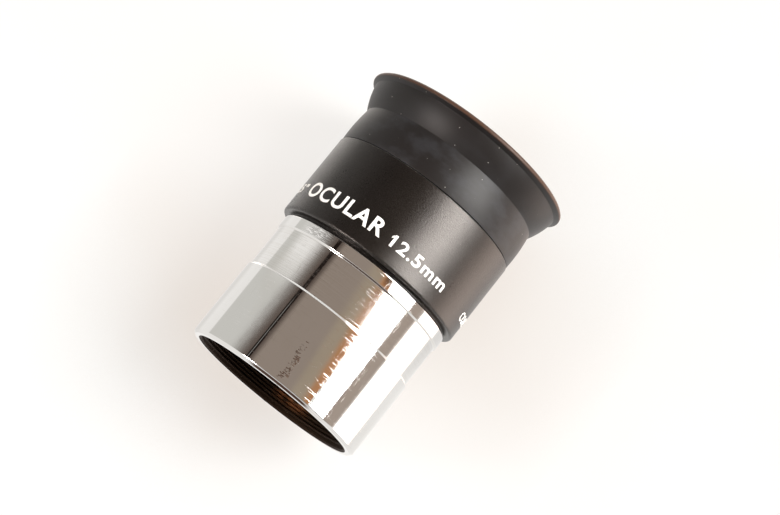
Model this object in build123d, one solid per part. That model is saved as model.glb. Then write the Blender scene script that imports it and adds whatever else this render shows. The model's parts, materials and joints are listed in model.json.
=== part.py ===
from build123d import *
import math
import os

# A 12.5 mm telescope eyepiece with two equal doublets, in a standard 1.25 inch push fit.
# Frame: the optical axis is +Z, towards the eye. Z = 0 is the open end of the nosepiece.
# Every size is in millimetres.

# ---------------------------------------------------------------- nosepiece
inch = 25.4
nose_r = 1.25 * inch / 2
nose_end_chamfer = 0.45
mouth_r = 14.53
undercut_depth = 0.275
undercut_low_z = 14.1
undercut_high_z = 21.66
nose_top_z = 23.74
nose_top_chamfer = 0.2
nose_thread_r = 14.85
nose_thread_top_z = 28.6
nose_thread_chamfer = 0.4

# Filter thread, M28.5 x 0.6, shown as a plain wall at its inner diameter
filter_thread_pitch = 0.6
filter_wall_r = (28.5 - 1.0825 * filter_thread_pitch) / 2
filter_wall_top_z = 5.2
baffle_bore_r = 13.5
stop_shelf_z = 21.2
upper_bore_r = 12.4

# ---------------------------------------------------------------- housing
body_r = 16.865
body_low_z = 24.2
body_corner_r = 0.9
body_top_z = 38.93
body_top_chamfer = 0.15
seat_ring_r = 15.3
nose_socket_r = 14.9
nose_socket_top_z = 29.3
housing_bore_r = 13.8
neck_r = 15.1
neck_flange_r = 15.6
neck_flange_low_z = 44.0
neck_flange_slope = 0.3
housing_top_z = 45.2
dish_rim_r = 12.2
dish_floor_r = 10.2
dish_floor_z = 43.9
web_low_z = 41.6
web_bore_r = 9.25

# ---------------------------------------------------------------- rubber eyecup
rubber_gap = 0.05
band_low_r = 16.72
band_bulge_r = 16.83
band_bulge_z = 41.3
cup_neck_r = 16.49
cup_neck_z = 45.42
skirt_mid_r = 17.52
skirt_top_r = 18.12
skirt_top_z = 49.77
skirt_wall = 0.87
lip_r = 18.87
lip_low_z = 50.3
lip_high_z = 50.64
lip_top_z = 50.96
lip_inner_r = 17.9

# ---------------------------------------------------------------- optics
focal_length = 12.5
lens_r = 6.6
crown_index = 1.517
crown_abbe = 64.2
flint_index = 1.648
flint_abbe = 33.8
crown_edge = 0.8
flint_centre = 1.6
lens_gap = 0.6
field_stop_r = 11.6 / 2
fit_gap = 0.05

# Two equal achromatic doublets, close together, share the power
doublet_focus = focal_length * 1.88
abbe_gap = crown_abbe - flint_abbe
crown_focus = doublet_focus * abbe_gap / crown_abbe
flint_focus = doublet_focus * abbe_gap / flint_abbe
cement_r = (flint_index - 1) * flint_focus
crown_face_r = 1 / (1 / ((crown_index - 1) * crown_focus) - 1 / cement_r)


def sag(curve_r, at_r):
    """Depth of a spherical face of radius curve_r at the distance at_r from the axis."""
    return curve_r - math.sqrt(curve_r**2 - at_r**2)


cement_sag = sag(cement_r, lens_r)
crown_sag = sag(crown_face_r, lens_r)
crown_centre = cement_sag + crown_edge + crown_sag

# ---------------------------------------------------------------- lens cell and rings
eye_face_z = 43.0
cell_lip_r = 5.9
cell_lip_flare = 0.7
cell_thread_r = 9.2
cell_flange_r = 10.6
cell_flange_low_z = 40.4
cell_tube_r = 8.6
cell_bore_r = lens_r + fit_gap
stack_height = 2 * (flint_centre + crown_centre) + lens_gap
field_face_z = eye_face_z - stack_height
middle_z = (eye_face_z + field_face_z) / 2
cell_low_z = field_face_z - 1.6
spacer_inner_r = 6.1
cell_ring_height = 1.2
cell_ring_inner_r = 5.8
stop_disc_height = 0.5
stop_ring_height = 1.4
stop_ring_inner_r = 12.3
stop_outer_r = baffle_bore_r - fit_gap
stop_bevel = 0.4
spanner_slot_width = 1.1
spanner_slot_depth = 0.5


# ---------------------------------------------------------------- building blocks
def turned(*edges):
    """Turn a closed outline, drawn as radius and height, about the optical axis."""
    outline = [Plane.XZ * edge for edge in edges]
    return revolve(make_face(outline), Axis.Z)


def turned_corners(*corners):
    """Turn a closed outline of straight edges, given by its corners."""
    return turned(Polyline(*corners, close=True))


def spanner_slots(low_z, inner_r, outer_r):
    """The cutter for two opposite slots in the lower face of a threaded ring."""
    length = 2 * outer_r + 1
    bar = Pos(0, 0, low_z) * Box(length, spanner_slot_width, 2 * spanner_slot_depth)
    core = Pos(0, 0, low_z) * Cylinder(inner_r - 0.1, 3 * spanner_slot_depth)
    return bar - core


# ---------------------------------------------------------------- metal parts
def nosepiece():
    undercut_r = nose_r - undercut_depth
    return turned_corners(
        (mouth_r, 0),
        (nose_r - nose_end_chamfer, 0),
        (nose_r, nose_end_chamfer),
        (nose_r, undercut_low_z - undercut_depth),
        (undercut_r, undercut_low_z),
        (undercut_r, undercut_high_z - undercut_depth),
        (nose_r, undercut_high_z),
        (nose_r, nose_top_z - nose_top_chamfer),
        (nose_r - nose_top_chamfer, nose_top_z),
        (nose_thread_r, nose_top_z),
        (nose_thread_r, nose_thread_top_z - nose_thread_chamfer),
        (nose_thread_r - nose_thread_chamfer, nose_thread_top_z),
        (upper_bore_r, nose_thread_top_z),
        (upper_bore_r, stop_shelf_z),
        (baffle_bore_r, stop_shelf_z),
        (baffle_bore_r, filter_wall_top_z),
        (filter_wall_r, filter_wall_top_z),
        (filter_wall_r, mouth_r - filter_wall_r),
    )


def housing():
    flat_r = body_r - body_corner_r
    corner = RadiusArc((flat_r, body_low_z), (body_r, body_low_z + body_corner_r), -body_corner_r)
    rest = Polyline(
        (body_r, body_low_z + body_corner_r),
        (body_r, body_top_z - body_top_chamfer),
        (body_r - body_top_chamfer, body_top_z),
        (neck_r, body_top_z),
        (neck_r, neck_flange_low_z),
        (neck_flange_r, neck_flange_low_z + neck_flange_slope),
        (neck_flange_r, housing_top_z),
        (dish_rim_r, housing_top_z),
        (dish_floor_r, dish_floor_z),
        (web_bore_r, dish_floor_z),
        (web_bore_r, web_low_z),
        (housing_bore_r, web_low_z),
        (housing_bore_r, nose_socket_top_z),
        (nose_socket_r, nose_socket_top_z),
        (nose_socket_r, nose_top_z),
        (seat_ring_r, nose_top_z),
        (seat_ring_r, body_low_z),
        (flat_r, body_low_z),
    )
    return turned(corner, rest)


def lens_cell():
    return turned_corners(
        (cell_bore_r, cell_low_z),
        (cell_tube_r, cell_low_z),
        (cell_tube_r, cell_flange_low_z),
        (cell_flange_r, cell_flange_low_z),
        (cell_flange_r, web_low_z),
        (cell_thread_r, web_low_z),
        (cell_thread_r, dish_floor_z),
        (cell_lip_r + cell_lip_flare, dish_floor_z),
        (cell_lip_r, eye_face_z + 0.2),
        (cell_lip_r, eye_face_z),
        (cell_bore_r, eye_face_z),
    )


def cell_retaining_ring():
    low_z = field_face_z - cell_ring_height
    ring = turned_corners(
        (cell_ring_inner_r, low_z),
        (lens_r, low_z),
        (lens_r, field_face_z),
        (cell_ring_inner_r, field_face_z),
    )
    return ring - spanner_slots(low_z, cell_ring_inner_r, lens_r)


def field_stop_disc():
    low_z = stop_shelf_z - stop_disc_height
    return turned_corners(
        (field_stop_r + stop_bevel, low_z),
        (stop_outer_r, low_z),
        (stop_outer_r, stop_shelf_z),
        (field_stop_r, stop_shelf_z),
        (field_stop_r, stop_shelf_z - 0.1),
    )


def field_stop_ring():
    high_z = stop_shelf_z - stop_disc_height
    low_z = high_z - stop_ring_height
    ring = turned_corners(
        (stop_ring_inner_r, low_z),
        (stop_outer_r, low_z),
        (stop_outer_r, high_z),
        (stop_ring_inner_r, high_z),
    )
    return ring - spanner_slots(low_z, stop_ring_inner_r, stop_outer_r)


# ---------------------------------------------------------------- rubber eyecup
def eyecup_band():
    inner_r = neck_r + rubber_gap
    groove_r = neck_flange_r + rubber_gap
    low_z = body_top_z + rubber_gap
    bulge = ThreePointArc((band_low_r, low_z), (band_bulge_r, band_bulge_z), (cup_neck_r, cup_neck_z))
    inside = Polyline(
        (cup_neck_r, cup_neck_z),
        (groove_r, cup_neck_z),
        (groove_r, neck_flange_low_z + neck_flange_slope - rubber_gap),
        (inner_r, neck_flange_low_z - rubber_gap),
        (inner_r, low_z),
        (band_low_r, low_z),
    )
    return turned(bulge, inside)


def eyecup_skirt():
    mid_z = (cup_neck_z + skirt_top_z) / 2
    groove_r = neck_flange_r + rubber_gap
    top_inner_r = skirt_top_r - skirt_wall
    outer = ThreePointArc((cup_neck_r, cup_neck_z), (skirt_mid_r, mid_z), (skirt_top_r, skirt_top_z))
    top = Line((skirt_top_r, skirt_top_z), (top_inner_r, skirt_top_z))
    inner_mid = (skirt_mid_r - skirt_wall, mid_z)
    inner = ThreePointArc((top_inner_r, skirt_top_z), inner_mid, (groove_r, cup_neck_z))
    foot = Line((groove_r, cup_neck_z), (cup_neck_r, cup_neck_z))
    return turned(outer, top, inner, foot)


def eyecup_rim():
    return turned_corners(
        (skirt_top_r - skirt_wall, skirt_top_z),
        (skirt_top_r, skirt_top_z),
        (lip_r, lip_low_z),
        (lip_r, lip_high_z),
        (lip_r - 0.32, lip_top_z),
        (lip_inner_r + 0.1, lip_top_z),
        (lip_inner_r, lip_high_z),
    )


# ---------------------------------------------------------------- lenses
def crown_lens(edge_z, up):
    """A biconvex crown lens; its cemented face points up (+1) or down (-1) from edge_z."""
    far_z = edge_z - up * crown_edge
    cement = ThreePointArc(
        (-lens_r, edge_z), (0, edge_z + up * cement_sag), (lens_r, edge_z)
    )
    face = ThreePointArc((-lens_r, far_z), (0, far_z - up * crown_sag), (lens_r, far_z))
    half = Polyline((lens_r, far_z), (lens_r, edge_z)), Polyline((-lens_r, edge_z), (-lens_r, far_z))
    outline = make_face([Plane.XZ * edge for edge in (cement, face, *half)])
    keep = Plane.XZ * Pos(lens_r, edge_z) * Rectangle(2 * lens_r, 8 * crown_centre)
    return revolve(outline & keep, Axis.Z)


def flint_lens(flat_z, up):
    """A flat and hollow flint lens; its flat face is at flat_z and points up (+1) or down (-1)."""
    inner_z = flat_z - up * (flint_centre + cement_sag)
    hollow = ThreePointArc(
        (-lens_r, inner_z), (0, flat_z - up * flint_centre), (lens_r, inner_z)
    )
    sides = Polyline((lens_r, inner_z), (lens_r, flat_z), (-lens_r, flat_z), (-lens_r, inner_z))
    outline = make_face([Plane.XZ * edge for edge in (hollow, sides)])
    keep = Plane.XZ * Pos(lens_r, flat_z) * Rectangle(2 * lens_r, 8 * crown_centre)
    return revolve(outline & keep, Axis.Z)


def lens_spacer():
    crown_vertex = lens_gap / 2
    half_height = crown_vertex + sag(crown_face_r, spacer_inner_r) - 0.01
    return turned_corners(
        (spacer_inner_r, middle_z - half_height),
        (lens_r, middle_z - half_height),
        (lens_r, middle_z + half_height),
        (spacer_inner_r, middle_z + half_height),
    )


# ---------------------------------------------------------------- the whole eyepiece
eye_cement_edge_z = eye_face_z - flint_centre - cement_sag
field_cement_edge_z = field_face_z + flint_centre + cement_sag

parts = {
    "nosepiece": nosepiece(),
    "housing": housing(),
    "eyecup_band": eyecup_band(),
    "eyecup_skirt": eyecup_skirt(),
    "eyecup_rim": eyecup_rim(),
    "lens_cell": lens_cell(),
    "eye_lens_flint": flint_lens(eye_face_z, 1),
    "eye_lens_crown": crown_lens(eye_cement_edge_z, 1),
    "lens_spacer": lens_spacer(),
    "field_lens_crown": crown_lens(field_cement_edge_z, -1),
    "field_lens_flint": flint_lens(field_face_z, -1),
    "cell_retaining_ring": cell_retaining_ring(),
    "field_stop_disc": field_stop_disc(),
    "field_stop_ring": field_stop_ring(),
}

os.makedirs("parts", exist_ok=True)
for name, shape in parts.items():
    export_step(shape, f"parts/{name}.step")
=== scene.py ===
"""Looks of a 12.5 mm telescope eyepiece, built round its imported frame.

The optical axis is +Z, towards the eye, and Z = 0 is the open end of the nosepiece. The marking faces -Y.
Sizes in the classes are in millimetres. Meshes are in metres, as the frame is.
"""

import json
import logging
import math
from dataclasses import dataclass, field
from enum import Enum
from typing import Callable, Iterable, Optional, Sequence, Union

import bmesh
import bpy
from mathutils import Matrix, Vector

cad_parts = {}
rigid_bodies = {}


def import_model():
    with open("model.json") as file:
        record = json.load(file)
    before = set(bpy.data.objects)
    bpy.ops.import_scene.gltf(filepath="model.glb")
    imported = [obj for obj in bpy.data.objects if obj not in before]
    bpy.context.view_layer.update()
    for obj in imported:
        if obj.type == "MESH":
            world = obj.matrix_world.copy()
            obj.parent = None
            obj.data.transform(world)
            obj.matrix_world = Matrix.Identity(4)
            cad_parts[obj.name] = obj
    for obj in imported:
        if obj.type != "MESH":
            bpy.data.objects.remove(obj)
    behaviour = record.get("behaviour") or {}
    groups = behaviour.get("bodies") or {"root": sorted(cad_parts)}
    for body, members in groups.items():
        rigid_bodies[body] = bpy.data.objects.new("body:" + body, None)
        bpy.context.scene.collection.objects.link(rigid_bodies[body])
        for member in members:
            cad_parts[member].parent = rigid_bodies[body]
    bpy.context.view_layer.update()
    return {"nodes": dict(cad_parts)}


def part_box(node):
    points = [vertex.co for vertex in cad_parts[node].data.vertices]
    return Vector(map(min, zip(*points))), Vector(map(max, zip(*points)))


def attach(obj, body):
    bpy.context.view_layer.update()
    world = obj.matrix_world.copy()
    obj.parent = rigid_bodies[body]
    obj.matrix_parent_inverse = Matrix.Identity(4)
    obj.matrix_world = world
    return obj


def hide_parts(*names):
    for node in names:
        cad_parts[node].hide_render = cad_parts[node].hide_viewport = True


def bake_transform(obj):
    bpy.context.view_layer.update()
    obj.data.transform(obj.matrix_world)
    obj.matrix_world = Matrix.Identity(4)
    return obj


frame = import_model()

MM = 0.001
ROOT_BODY = "eyepiece"

# Points closer together than these, in metres, are one point.
TURNED_SEAM = 0.5e-6
LETTER_SEAM = 1e-7

# Half the width of a thread's crest, as a share of its pitch.
CREST_HALF_WIDTH = 0.46

log = logging.getLogger("eyepiece")
Colour = tuple[float, float, float]
Socket = bpy.types.NodeSocket
Feed = Union[float, Sequence[float], Socket]

TARNISH: Colour = (0.62, 0.58, 0.53)


class Slot(Enum):
    """The record's material slots."""

    CHROME = "chrome_plate"
    ANODISED = "black_anodised"
    MATT = "matt_black"
    RUBBER = "eyecup_rubber"
    GLASS = "coated_glass"
    PRINT = "white_print"


# ---------------------------------------------------------------- wiring nodes
@dataclass(frozen=True)
class Pattern:
    """Marks spread over a surface by noise.

    Their size round the barrel and along the optical axis is in millimetres. A mark begins where the noise
    reaches start and is full at end. A pattern without them is the plain noise.
    """

    across: float
    along: float
    start: Optional[float] = None
    end: Optional[float] = None
    detail: float = 2.0
    roughness: float = 0.5


@dataclass(frozen=True)
class Stain:
    """A colour that lies over another one, and how strongly."""

    colour: Colour
    strength: float = 1.0


class Bench:
    """A node tree being wired, with short calls for the nodes that several trees share."""

    def __init__(self, tree: bpy.types.NodeTree) -> None:
        """Start wiring in tree."""
        self.tree = tree

    def put(self, socket: Socket, value: Feed) -> None:
        """Set an input socket's value, or link another socket into it.

        Args:
            socket: The input to fill.
            value: A number, a colour or vector, or an output socket.
        """
        if isinstance(value, bpy.types.NodeSocket):
            self.tree.links.new(value, socket)
        elif socket.type == "RGBA" and len(value) == 3:
            socket.default_value = (*value, 1.0)
        else:
            socket.default_value = value

    def add(self, kind: str, settings: Optional[dict] = None, **inputs: Feed) -> bpy.types.Node:
        """Add a node.

        Args:
            kind: The node's type name.
            settings: Its properties, by name.
            **inputs: Its inputs by name, with underscores for spaces.

        Returns:
            The new node.
        """
        node = self.tree.nodes.new(kind)
        for name, value in (settings or {}).items():
            setattr(node, name, value)
        for name, value in inputs.items():
            self.put(node.inputs[name.replace("_", " ")], value)
        return node

    def math(self, operation: str, first: Feed, second: Feed = 0.0, third: Feed = 0.0) -> Socket:
        """Work out a number.

        Args:
            operation: The Math node's operation.
            first: Its first number.
            second: Its second number.
            third: Its third number.

        Returns:
            The result.
        """
        node = self.tree.nodes.new("ShaderNodeMath")
        node.operation = operation
        for socket, value in zip(node.inputs, (first, second, third)):
            self.put(socket, value)
        return node.outputs[0]

    def product(self, first: Feed, *others: Feed) -> Feed:
        """Multiply numbers.

        Args:
            first: The first number.
            *others: The numbers that it is multiplied by.

        Returns:
            The product.
        """
        result = first
        for other in others:
            result = self.math("MULTIPLY", result, other)
        return result

    def total(self, first: Feed, *others: Feed) -> Feed:
        """Add numbers.

        Args:
            first: The first number.
            *others: The numbers that are added to it.

        Returns:
            The total.
        """
        result = first
        for other in others:
            result = self.math("ADD", result, other)
        return result

    def step(self, value: Feed, low: float, high: float) -> Socket:
        """A smooth rise from 0 at low to 1 at high, or a fall where high is below low.

        Args:
            value: The number that is looked up.
            low: Where the result is 0.
            high: Where the result is 1.

        Returns:
            A number from 0 to 1.
        """
        node = self.add("ShaderNodeMapRange", {"interpolation_type": "SMOOTHSTEP"}, Value=value)
        ends = (low, high, 0.0, 1.0) if low < high else (high, low, 1.0, 0.0)
        for name, end in zip(("From Min", "From Max", "To Min", "To Max"), ends):
            node.inputs[name].default_value = end
        return node.outputs["Result"]

    def edge(self, value: Feed, middle: float, softness: float) -> Socket:
        """A soft edge about a middle. It falls where its softness is below zero."""
        return self.step(value, middle - softness / 2, middle + softness / 2)

    def near(self, value: Feed, middle: float, outer: float, inner: float) -> Socket:
        """Where a place is near a middle, as a soft mask.

        Args:
            value: The place, in metres.
            middle: The middle, in millimetres.
            outer: Distance from the middle at which the mask is 0, in millimetres.
            inner: Distance within which it is 1, in millimetres.

        Returns:
            The mask.
        """
        distance = self.math("ABSOLUTE", self.math("SUBTRACT", value, middle * MM))
        return self.step(distance, outer * MM, inner * MM)

    def rise(self, value: Feed, start: float, reach: float) -> Socket:
        """A soft edge from 0 to 1.

        Args:
            value: The place, in metres.
            start: Where the result is 0, in millimetres.
            reach: How much further it is 1, in millimetres, or how much lower where it is below zero.

        Returns:
            A number from 0 to 1.
        """
        return self.step(value, start * MM, (start + reach) * MM)

    def axes(self, place: Socket) -> bpy.types.bpy_prop_collection:
        """The outputs X, Y and Z of a place."""
        return self.add("ShaderNodeSeparateXYZ", Vector=place).outputs

    def scaled(self, place: Socket, across: float, along: float) -> Socket:
        """Coordinates for a pattern of marks on a barrel.

        Args:
            place: Object coordinates.
            across: The marks' size round the barrel, in millimetres.
            along: Their size along the optical axis, in millimetres.

        Returns:
            Coordinates in which every mark is about one unit.
        """
        scale = (1 / (across * MM), 1 / (across * MM), 1 / (along * MM))
        node = self.add("ShaderNodeMapping", {"vector_type": "POINT"}, Vector=place, Scale=scale)
        return node.outputs[0]

    def noise(self, place: Socket, detail: float = 2.0, roughness: float = 0.5) -> Socket:
        """Noise of about one unit in the given coordinates."""
        node = self.add("ShaderNodeTexNoise", Vector=place, Scale=1.0, Detail=detail, Roughness=roughness)
        return node.outputs["Fac"]

    def spread(self, place: Socket, pattern: Pattern) -> Socket:
        """Spread a pattern over a surface.

        Args:
            place: Object coordinates.
            pattern: The pattern.

        Returns:
            1 in a mark and 0 outside it, or the plain noise.
        """
        marks = self.scaled(place, pattern.across, pattern.along)
        noise = self.noise(marks, pattern.detail, pattern.roughness)
        if pattern.start is None:
            return noise
        return self.step(noise, pattern.start, pattern.end)

    def blend(self, share: Feed, first: Feed, second: Feed) -> Socket:
        """Mix two colours.

        Args:
            share: The second colour's share.
            first: The colour at share 0.
            second: The colour at share 1.

        Returns:
            The mixed colour.
        """
        node = self.tree.nodes.new("ShaderNodeMix")
        node.data_type = "RGBA"
        for index, value in zip((0, 6, 7), (share, first, second)):
            self.put(node.inputs[index], value)
        return node.outputs[2]

    def stained(self, colour: Feed, *stains: tuple[Feed, Stain]) -> Feed:
        """Lay stains over a colour, one after another.

        Args:
            colour: The clean colour.
            *stains: Each stain's mask and the stain.

        Returns:
            The stained colour.
        """
        result = colour
        for mask, stain in stains:
            result = self.blend(self.product(mask, stain.strength), result, stain.colour)
        return result

    def between(self, share: Feed, first: Feed, second: Feed) -> Socket:
        """Mix two numbers.

        Args:
            share: The second number's share.
            first: The number at share 0.
            second: The number at share 1.

        Returns:
            The mixed number.
        """
        node = self.tree.nodes.new("ShaderNodeMix")
        for index, value in zip((0, 2, 3), (share, first, second)):
            self.put(node.inputs[index], value)
        return node.outputs[0]

    def bump(self, height: Socket, depth: float, below: Optional[Socket] = None) -> Socket:
        """A surface normal.

        Args:
            height: The pattern, from 0 to 1.
            depth: How deep it is, in millimetres.
            below: The normal that it is laid on.

        Returns:
            The new normal.
        """
        node = self.add("ShaderNodeBump", Height=height, Strength=1.0, Distance=depth * MM)
        if below is not None:
            self.put(node.inputs["Normal"], below)
        return node.outputs[0]


# ---------------------------------------------------------------- finishes
@dataclass(frozen=True)
class Finish:
    """A material made of nodes. Each kind of finish fills in dress."""

    name: str

    def material(self) -> bpy.types.Material:
        """Make the material.

        Returns:
            The material, dressed by the finish's own method.
        """
        material = bpy.data.materials.new(self.name)
        material.use_nodes = True
        bench = Bench(material.node_tree)
        shader = material.node_tree.nodes["Principled BSDF"]
        place = bench.add("ShaderNodeTexCoord").outputs["Object"]
        self.dress(bench, shader, place)
        return material

    def dress(self, bench: Bench, shader: bpy.types.Node, place: Socket) -> None:
        """Wire the finish's own nodes."""
        raise NotImplementedError


@dataclass(frozen=True)
class ChromePlate(Finish):
    """Polished chrome with turning lines, handling scratches, a brushed undercut and a pitted streak."""

    colour: Colour = (0.77, 0.762, 0.748)
    hazed: Stain = Stain(TARNISH, 0.2)
    scratched: Stain = Stain(TARNISH, 0.3)
    turned: Stain = Stain(TARNISH, 0.3)
    hatched: Stain = Stain((0.30, 0.29, 0.275), 0.5)
    pitted: Stain = Stain((0.10, 0.07, 0.055))
    roughness: float = 0.022
    hazed_roughness: float = 0.044
    brushed_roughness: float = 0.035
    marked_roughness: float = 0.10
    pitted_roughness: float = 0.4
    brushed_low: float = 14.1
    brushed_high: float = 21.6
    brushed_edge: float = 0.3
    turned_from: float = 0.42
    turned_full: float = 0.68
    scuffed_x: float = -9.6
    scuffed_width: float = 3.2
    scuffed_core: float = 1.0
    scuffed_edge: float = 0.4
    pitted_x: float = -0.7
    pitted_width: float = 0.8
    pitted_core: float = 0.25
    pitted_low: float = 0.6
    pitted_low_edge: float = 0.8
    pitted_high: float = 8.6
    pitted_high_edge: float = 4.0
    pit_wander: float = 2.4
    pit_crowding: float = 0.19
    streak_end: float = 0.05
    pit_from: float = 0.66
    pit_full: float = 0.70
    waves_depth: float = 0.0005
    lines_depth: float = 0.0009
    lines_outside: float = 0.12
    hatch_depth: float = 0.004
    marks_depth: float = 0.0007
    haze: Pattern = Pattern(6.0, 9.0, 0.45, 0.75, detail=3.0)
    lines: Pattern = Pattern(14.0, 0.07, detail=1.0)
    waves: Pattern = Pattern(2.6, 3.4)
    rings: Pattern = Pattern(3.2, 0.045, 0.74, 0.79, detail=0.0)
    strokes: Pattern = Pattern(0.05, 2.2, 0.77, 0.82, detail=0.0)
    dots: Pattern = Pattern(0.13, 0.13, 0.81, 0.86, detail=0.0)
    hatch: Pattern = Pattern(1.1, 0.12, 0.46, 0.56, detail=1.0)
    wander: Pattern = Pattern(3.0, 2.0)
    spots: Pattern = Pattern(0.5, 0.2, detail=1.0)

    def brushed(self, bench: Bench, place: Socket) -> Socket:
        """Where the undercut is, as a mask.

        Args:
            bench: The material's tree.
            place: Object coordinates.

        Returns:
            1 in the undercut.
        """
        height = bench.axes(place)["Z"]
        above = bench.edge(height, self.brushed_low * MM, self.brushed_edge * MM)
        below = bench.edge(height, self.brushed_high * MM, -self.brushed_edge * MM)
        return bench.product(above, below)

    def scuffed(self, bench: Bench, place: Socket) -> Socket:
        """Where the collar is scuffed, as a mask.

        Args:
            bench: The material's tree.
            place: Object coordinates.

        Returns:
            1 where it is scuffed.
        """
        axes = bench.axes(place)
        aside = bench.near(axes["X"], self.scuffed_x, self.scuffed_width, self.scuffed_core)
        front = bench.math("LESS_THAN", axes["Y"], 0.0)
        over = bench.rise(axes["Z"], self.brushed_high, self.scuffed_edge)
        return bench.product(aside, front, over)

    def pits(self, bench: Bench, place: Socket) -> Socket:
        """The streak of small pits above the open end, as a mask.

        Args:
            bench: The material's tree.
            place: Object coordinates.

        Returns:
            1 in a pit.
        """
        axes = bench.axes(place)
        wander = bench.math("SUBTRACT", bench.spread(place, self.wander), 0.5)
        across = bench.total(axes["X"], bench.product(wander, self.pit_wander * MM))
        streak = bench.product(
            bench.near(across, self.pitted_x, self.pitted_width, self.pitted_core),
            bench.math("LESS_THAN", axes["Y"], 0.0),
            bench.rise(axes["Z"], self.pitted_low, self.pitted_low_edge),
            bench.rise(axes["Z"], self.pitted_high, -self.pitted_high_edge))
        full = bench.total(bench.spread(place, self.spots), bench.product(streak, self.pit_crowding))
        inside = bench.math("GREATER_THAN", streak, self.streak_end)
        return bench.product(bench.step(full, self.pit_from, self.pit_full), inside)

    def dress(self, bench: Bench, shader: bpy.types.Node, place: Socket) -> None:
        """Wire colour, roughness and bump.

        Args:
            bench: The material's tree.
            shader: Its Principled node.
            place: Object coordinates.
        """
        brushed = self.brushed(bench, place)
        pits = self.pits(bench, place)
        haze = bench.spread(place, self.haze)
        lines = bench.spread(place, self.lines)
        rings = bench.spread(place, self.rings)
        strokes = bench.spread(place, self.strokes)
        dots = bench.spread(place, self.dots)
        marks = bench.math("MAXIMUM", bench.math("MAXIMUM", rings, strokes), dots)
        hatch = bench.product(bench.spread(place, self.hatch), self.scuffed(bench, place))
        turned = bench.product(bench.step(lines, self.turned_from, self.turned_full), brushed)
        bench.put(shader.inputs["Base Color"], bench.stained(
            self.colour, (haze, self.hazed), (marks, self.scratched), (hatch, self.hatched),
            (turned, self.turned), (pits, self.pitted)))
        bench.put(shader.inputs["Roughness"], bench.total(
            bench.between(haze, self.roughness, self.hazed_roughness),
            bench.product(brushed, self.brushed_roughness),
            bench.product(marks, self.marked_roughness),
            bench.product(pits, self.pitted_roughness)))
        shallow = bench.product(lines, bench.between(brushed, self.lines_outside, 1.0))
        dents = bench.product(bench.math("MAXIMUM", marks, pits), -1.0)
        normal = bench.bump(bench.spread(place, self.waves), self.waves_depth)
        normal = bench.bump(shallow, self.lines_depth, normal)
        normal = bench.bump(hatch, self.hatch_depth, normal)
        bench.put(shader.inputs["Normal"], bench.bump(dents, self.marks_depth, normal))
        shader.inputs["Metallic"].default_value = 1.0


@dataclass(frozen=True)
class BlackAnodising(Finish):
    """Satin black anodised aluminium, with fine grain and edges chipped bare."""

    colour: Colour = (0.0022, 0.0016, 0.0013)
    faded: Colour = (0.0036, 0.0026, 0.0021)
    dusty: Stain = Stain((0.06, 0.055, 0.05), 0.5)
    bare: Stain = Stain((0.13, 0.115, 0.10), 0.55)
    sheen: Colour = (1.12, 1.04, 0.99)
    dull_grain: Colour = (0.80, 0.74, 0.70)
    smoothest: float = 0.28
    roughest: float = 0.35
    grain_polish: float = 0.05
    shine: float = 0.55
    glint_from: float = 0.34
    glint_full: float = 0.66
    low_edge: float = 24.2
    high_edge: float = 38.93
    low_rub: float = 0.7
    low_rub_fade: float = 0.55
    high_rub: float = 0.3
    high_rub_fade: float = 0.25
    grain_depth: float = 0.03
    lines_depth: float = 0.0007
    speck_depth: float = 0.003
    chips: Pattern = Pattern(0.5, 0.22, 0.58, 0.72, detail=3.0)
    grain: Pattern = Pattern(0.15, 0.15, roughness=0.6)
    cloud: Pattern = Pattern(5.0, 5.0, detail=3.0)
    lines: Pattern = Pattern(9.0, 0.06, detail=1.0)
    specks: Pattern = Pattern(0.2, 0.2, 0.83, 0.87, detail=0.0)

    def dress(self, bench: Bench, shader: bpy.types.Node, place: Socket) -> None:
        """Wire colour, roughness and bump.

        Args:
            bench: The material's tree.
            shader: Its Principled node.
            place: Object coordinates.
        """
        height = bench.axes(place)["Z"]
        low = bench.rise(height, self.low_edge + self.low_rub, -self.low_rub_fade)
        high = bench.rise(height, self.high_edge - self.high_rub, self.high_rub_fade)
        wear_and_glow = bench.product(bench.math("MAXIMUM", low, high), bench.spread(place, self.chips))
        grain = bench.spread(place, self.grain)
        cloud = bench.spread(place, self.cloud)
        specks = bench.spread(place, self.specks)
        tint = bench.blend(cloud, self.colour, self.faded)
        tint = bench.stained(tint, (specks, self.dusty), (wear_and_glow, self.bare))
        bench.put(shader.inputs["Base Color"], tint)
        rough = bench.between(cloud, self.smoothest, self.roughest)
        smoother = bench.math("SUBTRACT", rough, self.grain_polish)
        bench.put(shader.inputs["Roughness"], bench.between(grain, smoother, rough))
        bright = bench.step(grain, self.glint_from, self.glint_full)
        glint = bench.blend(bright, self.dull_grain, self.sheen)
        bench.put(shader.inputs["Specular Tint"], glint)
        shader.inputs["Specular IOR Level"].default_value = self.shine
        normal = bench.bump(grain, self.grain_depth)
        normal = bench.bump(bench.spread(place, self.lines), self.lines_depth, normal)
        bench.put(shader.inputs["Normal"], bench.bump(specks, self.speck_depth, normal))


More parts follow.
